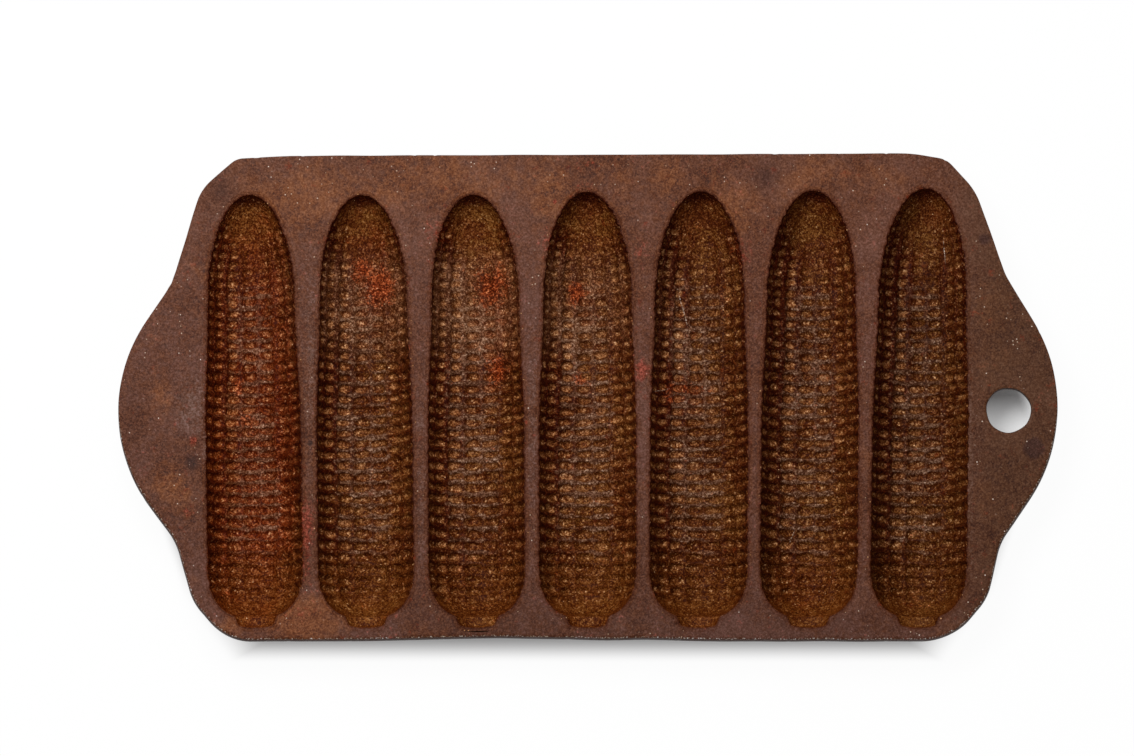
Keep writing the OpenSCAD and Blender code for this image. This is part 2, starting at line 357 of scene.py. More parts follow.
# Relief of the kernels at y and angle: its strength, 0 on a ridge to 1 in a hollow, and 1 between rows
# to 0 between columns
def kernelRelief(y, angle, index, k):
    source = np.random.default_rng(k["seed"])
    shape = (k["columns"] + 1, k["rows"] + 2)
    shiftAcross = source.normal(0, k["wander"][0], shape)
    shiftAlong = source.normal(0, k["wander"][1], shape)
    sizeAcross = source.uniform(*k["sizes"], shape)
    sizeAlong = source.uniform(*k["sizes"], shape)
    fullness = source.uniform(*k["fullness"], shape)
    bendAcross = k["bend"] * ripple(y, angle * mmPerDegree, k["bendSizes"][0], 40 + index)
    bendAlong = k["bend"] * ripple(y, angle * mmPerDegree, k["bendSizes"][1], 60 + index)
    place = (angle - k["columnTurn"]) / k["columnAngle"] + k["columns"] // 2
    column = np.clip(np.round(place), 0, k["columns"] - 1).astype(int)
    left, right = [rowNumber(y, k[side], k["levelRow"]) for side in ("leftPitches", "rightPitches")]
    wall = k["pitchAngle"]
    line = left + (right - left) * np.clip((angle + wall) / (2 * wall), 0, 1) - k["firstRow"]
    row = np.clip(np.round(line), 0, k["rows"]).astype(int)
    share = k["widthShare"][0] + (k["widthShare"][1] - k["widthShare"][0]) * ease(y, *k["widthReach"])
    share = share * (1 + k["sideWiden"] * ease(np.abs(angle), *k["wallAngles"]))
    across = (place - column + shiftAcross[column, row] + bendAcross) * 2 / share / sizeAcross[column, row]
    along = (line - row + shiftAlong[column, row] + bendAlong) * 2 / k["lengthShare"] / sizeAlong[column, row]
    reach = (np.abs(across) ** k["corner"] + np.abs(along) ** k["corner"]) ** (1 / k["corner"])
    bowl = (1 - ease(reach, *k["floor"])) * fullness[column, row]
    between = ease(np.abs(along) - np.abs(across), -0.25, 0.25)
    side = np.clip(np.abs(angle) / k["fadeAngle"], 0, 1)
    fadeFrom = k["fadeMiddle"][0] + (k["fadeSide"][0] - k["fadeMiddle"][0]) * side
    fadeTo = k["fadeMiddle"][1] + (k["fadeSide"][1] - k["fadeMiddle"][1]) * side
    strength = 1 - ease(y, fadeTo, fadeFrom)
    strength = strength * ease(y, *k["fadeButt"])
    return strength, bowl, between


# The y values of a mould's cross sections, closer together where the form turns
def stations(s):
    points = s["pointsAlong"]
    turn = np.linspace(0, math.pi / 2, points["tip"])
    tip = s["tip"] - s["tipLength"] * (1 - np.cos(turn))
    shoulder = shoulderY(s)
    body = np.arange(tip[-1] - points["step"], s["butt"], -points["step"])
    bend = np.linspace(0, 1, points["butt"])
    butt = s["butt"] - (s["butt"] - shoulder) * np.sin(bend * math.pi / 2)
    stalk = np.linspace(shoulder - 0.02, s["stalkEnd"] + s["stalkRound"], points["stalk"])
    turn = np.linspace(0.25, math.pi / 2, points["end"])
    end = s["stalkEnd"] + s["stalkRound"] * (1 - np.sin(turn) ** (2 / s["stalkPower"]))
    return np.concatenate([tip, body, butt, stalk, end])


# The rim, smooth and without kernels, and the direction straight out of it
def rimLine(y, s):
    width, depth = cavitySection(y, s)
    slopeX = np.gradient(width)
    slopeY = np.gradient(y)
    length = np.hypot(slopeX, slopeY)
    outX = -slopeY / length
    outY = slopeX / length
    # the direction is evened out round the shoulder at the stalk, so that the lip doesn't fold over itself
    along = np.cumsum(length)
    near = np.exp(-((along[:, None] - along[None, :]) / s["lipEvened"]) ** 2) * length[None, :]
    near /= near.sum(axis=1)[:, None]
    start, full = s["lipEvenedFrom"]
    stop, rest = s["lipEvenedTo"]
    share = ease(y, s["butt"] - start, s["butt"] - full) * ease(y, s["stalkEnd"] + stop, s["stalkEnd"] + rest)
    outX = outX + (near @ outX - outX) * share
    outY = outY + (near @ outY - outY) * share
    length = np.hypot(outX, outY)
    outX, outY = outX / length, outY / length
    outX[0], outY[0] = 0, 1
    outX[-1], outY[-1] = 0, -1
    return width, depth, outX, outY


def placeEar(points, index, s):
    x, y, z = points[..., 0], points[..., 1], points[..., 2]
    x = x * (1 - s["slimmer"][index] / s["bodyHalf"]) - s["slimmer"][index]
    x = x + s["tipLeans"][index] * ease(y, *s["leanFrom"])
    y = y + s["tipGrowth"][index] * ease(y, *s["growthFrom"]) - s["buttDrop"] * ease(y, *s["dropFrom"])
    spot = index - (earCount - 1) / 2
    lean = math.radians(-spot * s["fan"])
    reach = y - s["pivot"]
    return np.stack([
        spot * s["pitch"] + x * math.cos(lean) - reach * math.sin(lean),
        s["pivot"] + x * math.sin(lean) + reach * math.cos(lean),
        z,
    ], axis=-1)


# The seam between an ear's lip and the deck: a closed loop that both share
def seamLoop(index, s):
    y = stations(s)
    width, depth, outX, outY = rimLine(y, s)
    reach = s["lipWidth"]
    right = np.stack([width + outX * reach, y + outY * reach, np.full(len(y), deckTop)], axis=-1)
    right[0, 0] = 0
    left = right * np.array([-1, 1, 1])
    return placeEar(right, index, s), placeEar(left, index, s)


# Marks are numbers at each point for the shader; a crease is a sharp edge between two points that it marks
def makeMesh(name, points, faces, marks, crease, material):
    mesh = bpy.data.meshes.new(name)
    mesh.from_pydata((points * mm).tolist(), [], faces)
    mesh.polygons.foreach_set("use_smooth", [True] * len(mesh.polygons))
    ends = np.zeros(len(mesh.edges) * 2, dtype=np.int32)
    mesh.edges.foreach_get("vertices", ends)
    sharp = crease[ends.reshape(-1, 2)].all(axis=1)
    mesh.attributes.new("sharp_edge", "BOOLEAN", "EDGE").data.foreach_set("value", sharp)
    for mark, values in marks.items():
        layer = mesh.attributes.new(mark, "FLOAT", "POINT")
        layer.data.foreach_set("value", values.ravel().astype(np.float32))
    mesh.materials.append(material)
    mesh.update()
    piece = bpy.data.objects.new(name, mesh)
    bpy.context.collection.objects.link(piece)
    return piece


# Marks for the shader, where 1 is full: hollows, whose floors get a painted highlight, the gaps round them
# and the rim, which get painted shade, the ridges between rows, how bare the ridges are worn, and the lip,
# which is darkened as burnt-on residue and as painted shade. Most pairs are the two ends of an eased change.
earMarks = {
    # calm evens out the painted highlight and shade towards the right of each ear, whose wall faces the lamp
    "calm": 0.45,
    "calmAngles": (-32, 4),
    "hollow": (0.2, 0.8),
    "gap": (0.2, 0.75),
    "ridge": (0.0, 0.3),
    "ridgeShares": (0.22, 0.78),
    "wornTurn": 4,
    "wornAngles": (20, 50),
    "wornButt": (-66, -40),
    "wornTip": (30, 52),
    "tipRim": (1.0, 5.0),
    "sideRim": (62, 84),
    "sideRimShares": (0.6, 0.3),
    "sideRimTip": (20, 45),
    "lipGap": 1.1,
    "lipGapColumns": 3,
    "lipBurnAndShade": (0.5, 1.0),
}


def earPiece(index, s, k, m, material):
    y = stations(s)
    width, depth, outX, outY = rimLine(y, s)
    rows = len(y)
    angles = np.linspace(-90, 90, s["pointsAcross"]["cup"])
    bend = np.radians(angles)
    yy, aa = np.meshgrid(y, angles, indexing="ij")
    strength, bowl, between = kernelRelief(yy, aa, index, k)
    rimEase = 1 - (1 - k["rimShare"]) * ease(np.abs(aa), *k["rimAngles"])
    relief = strength * (-k["ridge"] + (k["ridge"] + k["hollow"]) * bowl) * rimEase
    # the ear's index shifts and seeds the waves, so that no two ears are alike
    uneven = s["uneven"] * ripple(yy + index * 31, aa * mmPerDegree, s["unevenSize"], 5 + index)
    relief = relief + uneven * ease(yy, s["stalkEnd"], s["butt"])
    relief = relief * ease(s["tip"] - yy, *s["tipCalm"])
    coarse, finer = s["roughSizes"]
    rough = ripple(yy + index * 17, aa * mmPerDegree, coarse, 90 + index)
    rough = rough + ripple(yy, aa * mmPerDegree, finer, 70 + index)
    relief = relief + s["rough"] * rough * ease(yy, *s["roughFrom"]) * ease(s["tip"] - yy, 0, s["roughEnd"])
    lip = s["lipRadius"]
    lipDrop = np.minimum(lip, depth * 0.5)[:, None]
    x = (width[:, None] + relief) * np.sin(bend)
    down = depth[:, None] - lipDrop + relief * (depth[:, None] > s["shallow"])
    z = deckTop - lipDrop - np.maximum(down, 0) * np.cos(bend)
    x[0] = 0
    cavity = np.stack([x, yy, z], axis=-1)
    # the lip turns from the wall to the deck, and carries the kernels' scallops out a little way
    turns = np.radians(s["lipTurns"])
    scallop = {-1: x[:, 0] + width, 1: x[:, -1] - width}
    lips = {}
    for side in (-1, 1):
        columns = []
        for turn in turns:
            reach = lip * (1 - math.cos(turn))
            drop = lipDrop[:, 0] * (1 - math.sin(turn))
            columns.append(np.stack([
                side * (width + outX * reach) + scallop[side],
                y + outY * reach,
                deckTop - drop,
            ], axis=-1))
        for share in (0.5, 1.0):
            reach = lip + (s["lipWidth"] - lip) * share
            columns.append(np.stack([
                side * (width + outX * reach) + scallop[side] * (1 - share),
                y + outY * reach,
                np.full(rows, deckTop),
            ], axis=-1))
        for column in columns:
            column[0, 0] = 0
        lips[side] = columns
    seat = np.array([0, 0, deckUnder + s["lipTuck"]])
    below = {side: lips[side][-1] * np.array([1, 1, 0]) + seat for side in (-1, 1)}
    # the outside: a smooth shell that flares where it meets the plate's underside and is flat on its belly
    outerAngles = np.radians(np.linspace(90, -90, s["pointsAcross"]["shell"]))
    tipStart = s["tip"] - s["tipLength"]
    longerTip = tipStart + (y - tipStart) * (s["tipLength"] + s["outerTip"]) / s["tipLength"]
    outerY = np.where(y > tipStart, longerTip, y)
    outerY = np.where(y < s["butt"], s["butt"] + (y - s["butt"]) * s["outerButt"], outerY)
    outerWidth, outerDepth = outerSection(outerY, s)
    outerZ = deckTop - outerDepth[:, None] * np.cos(outerAngles)
    hang = deckUnder - outerZ
    soft = (hang + np.sqrt(hang ** 2 + s["seatSoftness"])) / 2
    flare = s["outerFillet"] * np.clip(1 - soft / s["filletDepth"], 0, 1) ** 2
    shell = np.stack([
        (outerWidth[:, None] + flare) * np.sin(outerAngles),
        np.broadcast_to(outerY[:, None], outerZ.shape),
        np.maximum(deckUnder + s["shellTuck"] - soft, 0),
    ], axis=-1)
    columns = lips[-1][::-1] + [cavity[:, c] for c in range(len(angles))] + lips[1]
    columns = columns + [below[1]] + [shell[:, c] for c in range(shell.shape[1])] + [below[-1]]
    grid = placeEar(np.stack(columns, axis=1), index, s)
    around = grid.shape[1]
    number = np.arange(rows * around).reshape(rows, around)
    step = np.roll(number, -1, axis=1)
    quads = np.stack([number[:-1], number[1:], step[1:], step[:-1]], axis=-1).reshape(-1, 4)
    faces = quads.tolist()
    faces.append(number[-1].tolist())
    marks = {name: np.zeros((rows, around)) for name in ("hollow", "gap", "ridge", "worn", "rim", "burnAndShade")}
    # calm: less painted highlight and shade towards the right of the ear, whose wall faces the lamp
    calm = 1 - m["calm"] * ease(aa, *m["calmAngles"])
    first = len(lips[-1])
    last = first * 2 + len(angles) - 1
    inside = slice(first, first + len(angles))
    middle = 1 - ease(np.abs(aa + m["wornTurn"]), *m["wornAngles"])
    length = ease(yy, *m["wornButt"]) * (1 - ease(yy, *m["wornTip"]))
    low, more = m["ridgeShares"]
    marks["hollow"][:, inside] = calm * strength * ease(bowl, *m["hollow"])
    marks["gap"][:, inside] = calm * strength * (1 - ease(bowl, *m["gap"]))
    marks["ridge"][:, inside] = strength * (1 - ease(bowl, *m["ridge"])) * (low + more * between)
    marks["worn"][:, inside] = middle * length
    tipRim = 1 - ease(s["tip"] - yy, *m["tipRim"])
    low, more = m["sideRimShares"]
    sideRim = ease(np.abs(aa), *m["sideRim"]) * (low + more * ease(yy, *m["sideRimTip"]))
    marks["rim"][:, inside] = np.maximum(sideRim, tipRim)
    # painted shade: a dark line where the lip meets the cavity
    for edge in (first, first + len(angles)):
        marks["gap"][:, edge - m["lipGapColumns"]:edge + m["lipGapColumns"]] = m["lipGap"]
    # the lip is darkened, as burnt-on residue and as painted shade of the rim
    marks["burnAndShade"][:, 1:last] = m["lipBurnAndShade"][0]
    marks["burnAndShade"][:, 2:last - 1] = m["lipBurnAndShade"][1]
    crease = np.zeros((rows, around), dtype=bool)
    crease[:, [0, last]] = True
    crease[-1] = True
    piece = makeMesh("earMould" + str(index + 1), grid.reshape(-1, 3), faces, marks, crease.ravel(), material)
    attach(piece, "root")
    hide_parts("ear_mould_" + str(index + 1))
    return piece


# The plate's outline: straight runs joined by arcs, as x, y and rounding radius, clockwise from the back
# right. Each edge is a list of pairs, how far in and how high above the underside.
plateShape = {
    "corners": (
        (117.0, halfDepth, 45.0),
        (129.5, 86.3, 9.0),
        (139.9, 74.9, 26.0),
        (150.8, 44.1, 19.5),
        (180.5, -6.1, 61.0),
        (148.5, -52.9, 23.0),
        (143.7, -73.2, 18.0),
        (130.3, -halfDepth, 23.5),
        (-130.1, -halfDepth, 20.0),
        (-142.3, -74.2, 21.6),
        (-148.5, -52.3, 27.0),
        (-182.5, -6.6, 58.0),
        (-150.0, 41.2, 35.7),
        (-139.7, 75.4, 17.0),
        (-126.8, 86.6, 7.0),
        (-106.0, halfDepth - 0.9, 60.0),
    ),
    "spacing": 0.9,
    "waver": 0.1,
    "waverSize": 26,
    "waverShares": (1.6, 0.6),
    "bow": ((-32.0, 34.0, 1.1), (22.0, 12.0, 0.5)),
    "bowFront": -80,
    "nickSize": 7,
    "nickAbove": 1.2,
    "nickDepth": 0.35,
    "nickShares": (0.3, 0.7),
    "insetShares": (0.15, 0.85),
    "insetFrom": (0.4, -0.6),
    "edge": (
        (1.0, 0.0), (0.42, 0.1), (0.1, 0.36), (0.0, 0.8), (0.12, 1.7), (0.26, 2.6),
        (0.36, 3.2), (0.5, 3.6), (0.78, 3.87), (1.2, 3.98), (1.7, 4.0), (2.4, 4.0),
    ),
    "wornRise": (3.5, 3.9),
    "wornHole": 0.6,
    "sharpTurn": 40,
    "holeCentre": (151.4, -5.0),
    "holeRadius": 8.0,
    "holeWaver": (0.1, 0.07),
    "holePoints": 96,
    "holeEdge": ((0.7, 0.0), (0.2, 0.2), (0.0, 0.7), (0.0, 3.2), (0.2, 3.78), (0.7, 4.0), (1.3, 4.0)),
}


# Points from the last one towards the next, evenly spaced and without either
def runTo(last, following, spacing):
    gap = following - last
    runs = max(1, math.ceil(gap.length / spacing))
    return [last + gap * r / runs for r in range(1, runs)]


def roundedOutline(corners, spacing):
    points = []
    count = len(corners)
    for i in range(count):
        a, b, c = [Vector(corners[(i + j) % count][:2]) for j in (-1, 0, 1)]
        radius = corners[i][2]
        into = (a - b).normalized()
        outof = (c - b).normalized()
        half = into.angle(outof) / 2
        centre = b + (into + outof).normalized() * radius / math.sin(half)
        start = b + into * radius / math.tan(half) - centre
        turn = -1 if into.cross(outof) > 0 else 1
        sweep = math.pi - 2 * half
        steps = max(3, math.ceil(sweep * radius / spacing))
        if points:
            points += runTo(points[-1], centre + start, spacing)
        for n in range(steps + 1):
            angle = turn * sweep * n / steps
            points.append(centre + Vector((
                start.x * math.cos(angle) - start.y * math.sin(angle),
                start.x * math.sin(angle) + start.y * math.cos(angle),
            )))
    points += runTo(points[-1], points[0], spacing)
    return np.array([tuple(p) for p in points])


def outwards(loop):
    along = np.roll(loop, -1, axis=0) - np.roll(loop, 1, axis=0)
    out = np.stack([-along[:, 1], along[:, 0]], axis=-1)
    return out / np.linalg.norm(out, axis=1)[:, None]


# A slab of the whole outline with its openings, later cut into plate and handles
def castSlab(p, s):
    mesh = bmesh.new()
    edgeMark = mesh.verts.layers.float.new("worn")

    def addLoop(points, height, mark):
        verts = [mesh.verts.new((x, y, height)) for x, y in points]
        for vert in verts:
            vert[edgeMark] = mark
        return verts

    def skin(loops):
        for low, high in zip(loops[:-1], loops[1:]):
            for i in range(len(low)):
                j = (i + 1) % len(low)
                mesh.faces.new((low[i], low[j], high[j], high[i]))

    outline = roundedOutline(p["corners"], p["spacing"])
    out = outwards(outline)
    even, uneven = p["waverShares"]
    waver = p["waver"] * (even + ripple(outline[:, 0], outline[:, 1], p["waverSize"], 3) * uneven)
    for place, reach, depth in p["bow"]:
        bowed = depth * np.exp(-((outline[:, 0] - place) / reach) ** 2)
        waver = waver + bowed * (outline[:, 1] < p["bowFront"])
    nicks = ripple(outline[:, 0], outline[:, 1], p["nickSize"], 8)
    nicks = np.maximum(0, nicks - p["nickAbove"]) * p["nickDepth"]
    # the back edge is steeper than the front one
    least, more = p["insetShares"]
    steepness = least + more * ease(out[:, 1], *p["insetFrom"])
    wornFrom, wornTo = p["wornRise"]
    thickness = p["edge"][-1][1]
    low, high = p["nickShares"]
    loops = []
    for inset, rise in p["edge"]:
        chipped = nicks * (low + high * rise / thickness)
        points = outline - out * (inset * steepness + waver + chipped)[:, None]
        worn = 1.0 if wornFrom < rise < wornTo else 0.0
        loops.append(addLoop(points, deckUnder + rise, worn))
    skin(loops)
    tops = [loops[-1]]
    unders = [loops[0]]
    centre = np.array(p["holeCentre"])
    turns = np.linspace(0, 2 * math.pi, p["holePoints"], endpoint=False)
    ring = np.stack([np.cos(turns), np.sin(turns)], axis=-1)
    wide, narrow = p["holeWaver"]
    radius = p["holeRadius"] + wide * np.sin(turns * 3 + 1) + narrow * np.sin(turns * 7)
    holeLoops = []
    for inset, rise in p["holeEdge"]:
        worn = p["wornHole"] if wornFrom < rise < wornTo else 0
        holeLoops.append(addLoop(centre + ring * (radius + inset)[:, None], deckUnder + rise, worn))
    skin([loop[::-1] for loop in holeLoops])
    tops.append(holeLoops[-1])
    unders.append(holeLoops[0])
    for index in range(earCount):
        rightSide, leftSide = seamLoop(index, s)
        loop = np.concatenate([rightSide, leftSide[-1:0:-1]])[:, :2]
        high = addLoop(loop, deckTop, 0)
        low = addLoop(loop, deckUnder, 0)
        skin([high, low])
        tops.append(high)
        unders.append(low)
    for group, normal in ((tops, (0, 0, 1)), (unders, (0, 0, -1))):
        edges = []
        for loop in group:
            edges += [mesh.edges.get((loop[i], loop[(i + 1) % len(loop)])) for i in range(len(loop))]
        bmesh.ops.triangle_fill(mesh, use_beauty=True, use_dissolve=False, edges=edges, normal=normal)
    bmesh.ops.recalc_face_normals(mesh, faces=mesh.faces)
    for edge in mesh.edges:
        edge.smooth = not edge.is_manifold or edge.calc_face_angle() < math.radians(p["sharpTurn"])
    for face in mesh.faces:
        face.smooth = True
    return mesh


# Cuts the slab at the seams and keeps the part between low and high
def slabPiece(name, slab, low, high, node, material):
    part = slab.copy()
    for cut, keepAbove in ((low, True), (high, False)):
        if cut is None:
            continue
        everything = part.verts[:] + part.edges[:] + part.faces[:]
        bmesh.ops.bisect_plane(part, geom=everything, plane_co=(cut, 0, 0), plane_no=(1, 0, 0),
                               clear_inner=keepAbove, clear_outer=not keepAbove)
        openEdges = [edge for edge in part.edges if edge.is_boundary]
        filled = bmesh.ops.holes_fill(part, edges=openEdges, sides=0)
        for face in filled["faces"]:
            for edge in face.edges:
                edge.smooth = False
    bmesh.ops.scale(part, vec=(mm, mm, mm), verts=part.verts)
    mesh = bpy.data.meshes.new(name)
    part.to_mesh(mesh)
    part.free()
    mesh.materials.append(material)
    piece = bpy.data.objects.new(name, mesh)
    bpy.context.collection.objects.link(piece)
    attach(piece, "root")
    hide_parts(node)
    return piece


# Rust, stains and grease, and darker spots in the cups (dim), each at a place on the pan: x, y, reach across,
# reach along, strength. A spot has faded out at stainEdge times its reach.
stainEdge = 1.35
stains = {
    "rust": (
        (-126.5, 7.0, 3.5, 5.5, 0.75),
        (-124.0, -7.0, 5.0, 5.0, 0.45),
        (-112.0, -16.0, 5.0, 4.0, 0.5),
        (-131.0, -60.0, 3.5, 9.0, 0.35),
        (-119.0, -51.5, 5.0, 3.0, 0.5),
        (-108.0, -53.0, 3.5, 8.0, 0.45),
        (-110.5, 26.0, 3.5, 4.0, 0.4),
        (-128.0, -71.0, 5.0, 3.5, 0.5),
        (-81.5, 47.5, 5.0, 6.0, 0.85),
        (-75.5, 41.0, 6.0, 8.5, 1.1),
        (-35.0, 41.5, 7.5, 8.0, 1.15),
        (-32.4, 11.0, 5.0, 6.5, 0.95),
        (-4.3, 39.5, 4.0, 5.0, 1.1),
        (19.5, 9.5, 3.4, 4.5, 1.0),
        (56.5, 50.5, 2.6, 2.6, 0.7),
        (-2.5, 8.0, 4.0, 3.5, 0.5),
        (-12.0, 70.7, 0.9, 0.9, 1.5),
        (1.8, 84.8, 0.9, 0.7, 1.1),
        (-22.3, -9.4, 0.6, 1.1, 1.2),
        (33.0, 5.0, 9.0, 3.0, 0.66),
        (29.0, 1.0, 5.0, 3.4, 0.6),
        (-101.0, -52.0, 3.0, 16.0, 0.9),
        (0.0, 84.0, 5.0, 5.0, 0.42),
        (-1.0, 76.0, 4.0, 3.5, 0.36),
        (-15.5, 57.0, 3.5, 8.0, 0.4),
        (18.5, 53.0, 4.0, 8.0, 0.4),
        (57.0, 53.0, 5.0, 7.0, 0.42),
        (-54.0, 60.0, 5.0, 8.0, 0.4),
        (-104.0, -79.0, 9.0, 5.0, 0.4),
        (-142.0, -16.0, 1.9, 2.2, 1.0),
        (-144.0, -42.0, 2.6, 2.6, 0.7),
    ),
    "ruddy": (
        (-120.0, -14.0, 18.0, 66.0, 1.15),
        (-78.0, 38.0, 13.0, 24.0, 0.6),
        (-34.0, 26.0, 14.0, 34.0, 0.5),
        (-2.0, 34.0, 9.0, 16.0, 0.45),
        (32.0, 2.0, 12.0, 12.0, 0.5),
    ),
    # dim: darker spots in the cups; the first is painted shade on the first ear's left wall
    "dim": (
        (-134.5, -22.0, 7.0, 54.0, 1.5),
        (79.5, -69.0, 15.0, 13.0, 0.45),
    ),
    "tint": (
        (-104.0, 72.0, 26.0, 15.0, 0.75),
        (-56.0, 78.0, 34.0, 13.0, 0.7),
        (-14.0, 72.0, 14.0, 14.0, 0.6),
        (14.0, 80.0, 16.0, 8.0, 0.35),
        (52.0, 72.0, 10.0, 12.0, 0.6),
        (88.0, 80.0, 30.0, 8.0, 0.55),
        (-102.0, -80.0, 16.0, 8.0, 1.3),
        (27.7, 79.0, 7.0, 7.0, 0.8),
        (-128.0, -84.0, 12.0, 5.0, 0.6),
        (-150.0, -34.0, 9.0, 9.0, 0.9),
        (-153.0, -2.0, 7.0, 14.0, 0.5),
        (146.0, 32.0, 8.0, 12.0, 0.9),
        (146.0, 14.0, 9.0, 10.0, 0.6),
        (145.0, -40.0, 8.0, 12.0, 0.4),
    ),
    "soot": (
        (160.5, -19.0, 3.6, 3.8, 1.6),
        (-100.0, -17.0, 1.2, 1.6, 1.3),
        (-142.5, -24.0, 3.4, 4.0, 0.9),
        (143.0, 57.0, 2.4, 2.0, 0.9),
        (-132.0, 74.0, 10.0, 12.0, 0.5),
        (-164.0, -10.0, 10.0, 26.0, 0.35),
        (-84.0, 86.0, 10.0, 5.0, 0.4),
        (64.0, 80.0, 9.0, 8.0, 0.5),
    ),
    "grey": (
        (-143.0, -4.0, 6.0, 12.0, 0.9),
        (137.4, -20.0, 1.3, 44.0, 1.4),
        (-137.8, -20.0, 1.1, 12.0, 0.9),
        (-100.0, 10.0, 3.0, 50.0, 0.6),
        (-60.0, -30.0, 3.0, 40.0, 0.5),
        (-20.0, -10.0, 3.0, 46.0, 0.5),
    ),
}

# Thin scratches in the cups: x, y, turn in degrees from straight along y, half length
scratches = {
    "halfWidth": 0.16,
    "edge": 1.1,
    "lines": (
        (33.3, 37.3, 15, 4.2),
        (34.9, 31.9, 14, 5.0),
        (128.8, 54.0, 6, 4.5),
        (73.6, -49.0, -22, 3.0),
        (31.4, -39.0, -28, 1.6),
        (26.5, 3.5, -70, 3.6),
        (29.0, 1.2, -62, 3.2),
    ),
}


def stainMask(mix, flat, spots):
    mask = None
    for x, y, reachX, reachY, strength in spots:
        away = mix.vector("SUBTRACT", flat, (x, y, 0))
        away = mix.vector("MULTIPLY", away, (1 / reachX, 1 / reachY, 0))
        one = (stainEdge - mix.reach(away)).atLeast(0) * strength
        mask = one if mask is None else mask.atLeast(one)
    return mask


def scratchMask(mix, flat, s):
    mask = None
    for x, y, turn, halfLength in s["lines"]:
        away = mix.vector("SUBTRACT", flat, (x, y, 0))
        turned = {"Vector": away, "Angle": -math.radians(turn)}
        away = mix.node("ShaderNodeVectorRotate", {"rotation_type": "Z_AXIS"}, turned)
        away = mix.vector("MULTIPLY", away, (1 / s["halfWidth"], 1 / halfLength, 0))
        one = (s["edge"] - mix.reach(away)).atLeast(0)
        mask = one if mask is None else mask.atLeast(one)
    return mask


ironLook = {
    "brown": paint(98, 56, 35),
    "purple": paint(91, 55, 42),
    "warm": paint(122, 71, 39),
    "sooty": paint(58, 32, 25),
    "rust": paint(116, 38, 8),
    "rustBright": paint(164, 68, 24),
    "rustDeck": paint(122, 50, 38),
    "rustDeckBright": paint(150, 72, 52),
    "speck": paint(214, 190, 168),
    "chip": paint(186, 172, 158),
    "floor": paint(146, 92, 52),
    "smooth": paint(92, 44, 14),
    "olive": paint(104, 60, 22),
    "ruddy": paint(104, 34, 8),
    "gap": paint(62, 14, 2),
    "ridge": paint(92, 60, 42),
    "ridgeWorn": paint(146, 110, 84),
    # the lip's dark colour: burnt-on residue and painted shade of the rim
    "burntAndShaded": paint(66, 30, 14),
    "firstEar": paint(132, 58, 18),
    "butt": paint(92, 46, 10),
    "rightEnd": paint(78, 47, 27),
    "grey": paint(112, 83, 72),
    "paintedSheen": paint(142, 98, 66),
    "scratched": paint(206, 184, 160),
    "gold": paint(208, 156, 106),
    # colour of the painted glints in the cups
    "paintedGlints": paint(200, 142, 88),
    "side": paint(54, 32, 24),
    "under": paint(50, 38, 33),
    "toneShare": (0.7, 1.0, 1.35),
    "wallShare": (0.4, 1.1, 2.0),
    "roughness": 0.55,
    "sheen": {"deck": 0.1, "cup": 0.05},
    "sandSize": 0.46,
    "speckSpacing": 2.2,
}

# Noises: size in millimetres, seed, detail, roughness
grains = {
    "broad": (38, 1.0, 3),
    "blotch": (9, 2.0, 4, 0.6),
    "patch": (14, 7.0, 5, 0.6),
    "mottle": (2.6, 3.0, 4, 0.65),
    "grit": (1.1, 8.0, 2, 0.6),
    "fine": (0.62, 4.0, 2, 0.7),
    "streak": (1.0, 21.0, 3, 0.6),
    "chip": (0.65, 15.0, 2),
    "freckle": (3.4, 9.0, 3, 0.7),
    "speck": (4.5, 12.0, 2),
}

# Places along and across the pan, and a depth below its deck, in millimetres: where a change begins and
# where it is full
fades = {
    "front": (-60, -82),
    "frontLeft": (-88, -104),
    "frontRight": (-90, -40),
    "back": (40, 80),
    "backWarm": (30, 70),
    "rightEnd": (120, 150),
    "cupTop": (0.0, 0.16),
    "lower": (5, -45),
    "butt": (-50, -64),
    "stalk": (-62, -74),
    "rightCups": (-20, 60),
    "lastCup": (90, 130),
    "firstCup": (-96, -112),
    # where the painted sheen lies in the cups
    "paintedSheenFrom": (10, 26),
    "paintedSheenTo": (58, 44),
    "paintedSheenRight": (50, -20),
    "paintedSheenLeft": (-118, -84),
}

# How much of a colour is laid over the one below, at most
covers = {
    "warm": 0.75,
    "grey": 0.6,
    "backWarm": 0.15,
    "rightEnd": 0.85,
    "sooty": 0.8,
    "ruddy": 0.8,
    "gap": 0.92,
    "floor": 0.9,
    "ridge": 0.8,
    "butt": 0.55,
    "firstEar": 0.16,
    "rim": 0.85,
    "burntAndShaded": 0.85,
    "scratched": 0.5,
    "chip": 0.8,
    "freckle": 0.5,
    "speck": 0.75,
    "side": 0.85,
    "under": 0.75,
}


